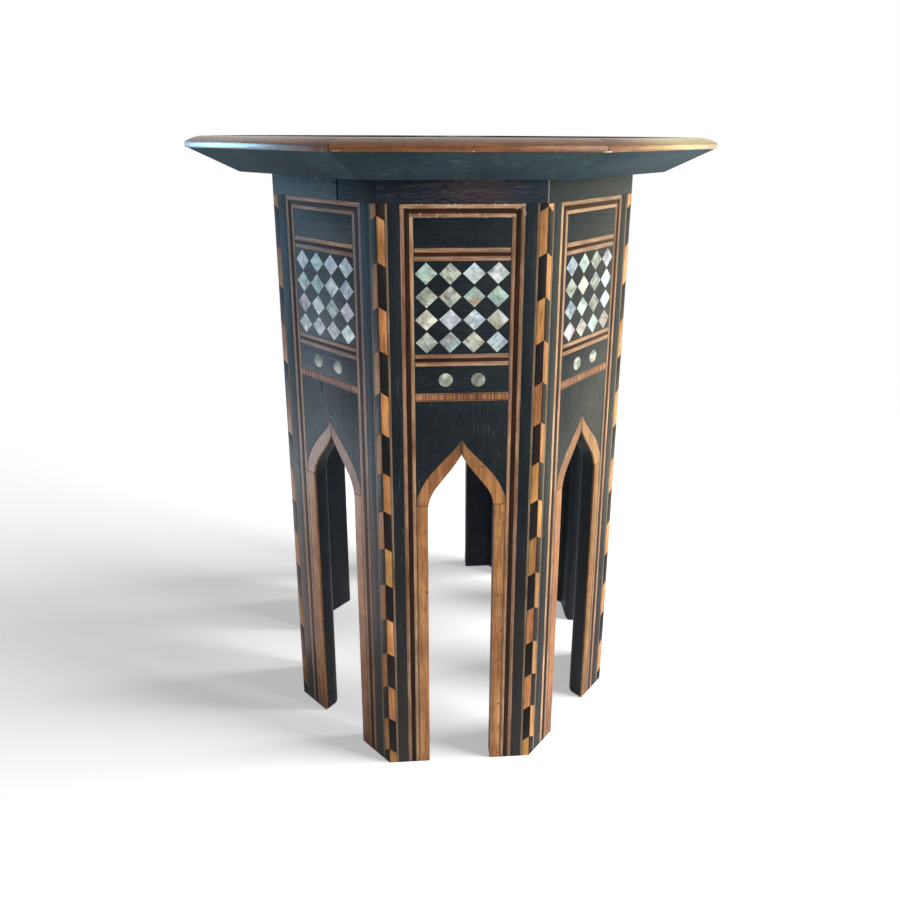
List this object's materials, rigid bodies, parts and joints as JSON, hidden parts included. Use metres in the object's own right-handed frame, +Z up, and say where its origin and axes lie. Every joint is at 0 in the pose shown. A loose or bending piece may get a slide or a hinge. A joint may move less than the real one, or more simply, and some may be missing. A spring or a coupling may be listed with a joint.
{
  "type": "side table",
  "caption": "Octagonal Levantine side table: straight inlaid panels with keel-arched legs under an overhanging moulded top; black wood with strings and mother-of-pearl.",
  "frame": {"origin": "centre of the base on the floor", "axes": "+Z up along the middle of the table; the panel with its face to the viewer looks towards -Y, +X to its right"},
  "size_m": [0.406, 0.406, 0.52],
  "materials": {
    "black_wood": "ebonised, thin worn wax polish with the grain showing",
    "light_string_wood": "tan stringing, waxed",
    "dark_string_wood": "dark red-brown stringing, waxed",
    "edging_wood": "orange-brown edging, waxed",
    "tooth_wood": "pale wood blocks, waxed",
    "rope_inlay": "striped banding of light and dark wood, waxed",
    "rim_wood": "reddish brown, polished, worn at the lower edge",
    "pearl": "mother-of-pearl, polished, faintly iridescent",
    "block_wood": "bare softwood"
  },
  "bodies": {
    "root": {"arch_edging_1": "edging_wood", "arch_edging_2": "edging_wood", "arch_edging_3": "edging_wood", "arch_edging_4": "edging_wood", "arch_edging_5": "edging_wood", "arch_edging_6": "edging_wood", "arch_edging_7": "edging_wood", "arch_edging_8": "edging_wood", "black_veneer": "black_wood", "dark_stringing": "dark_string_wood", "dogtooth_dark": "dark_string_wood", "dogtooth_light": "tooth_wood", "frieze_rail_1": "black_wood", "frieze_rail_2": "black_wood", "frieze_rail_3": "black_wood", "frieze_rail_4": "black_wood", "frieze_rail_5": "black_wood", "frieze_rail_6": "black_wood", "frieze_rail_7": "black_wood", "frieze_rail_8": "black_wood", "panel_board_1": "black_wood", "panel_board_2": "black_wood", "panel_board_3": "black_wood", "panel_board_4": "black_wood", "panel_board_5": "black_wood", "panel_board_6": "black_wood", "panel_board_7": "black_wood", "panel_board_8": "black_wood", "pearl_discs": "pearl", "pearl_lozenges": "pearl", "rope_banding": "rope_inlay", "soffit_rail_1": "black_wood", "soffit_rail_2": "black_wood", "soffit_rail_3": "black_wood", "soffit_rail_4": "black_wood", "soffit_rail_5": "black_wood", "soffit_rail_6": "black_wood", "soffit_rail_7": "black_wood", "soffit_rail_8": "black_wood", "stringing_1": "light_string_wood", "stringing_2": "light_string_wood", "stringing_3": "light_string_wood", "stringing_4": "light_string_wood", "stringing_5": "light_string_wood", "stringing_6": "light_string_wood", "stringing_7": "light_string_wood", "stringing_8": "light_string_wood", "top_blocks": "block_wood", "top_board": "black_wood", "top_moulding_1": "rim_wood", "top_moulding_2": "rim_wood", "top_moulding_3": "rim_wood", "top_moulding_4": "rim_wood", "top_moulding_5": "rim_wood", "top_moulding_6": "rim_wood", "top_moulding_7": "rim_wood", "top_moulding_8": "rim_wood", "top_star": "pearl", "top_stringing": "light_string_wood"}
  },
  "joints": []
}
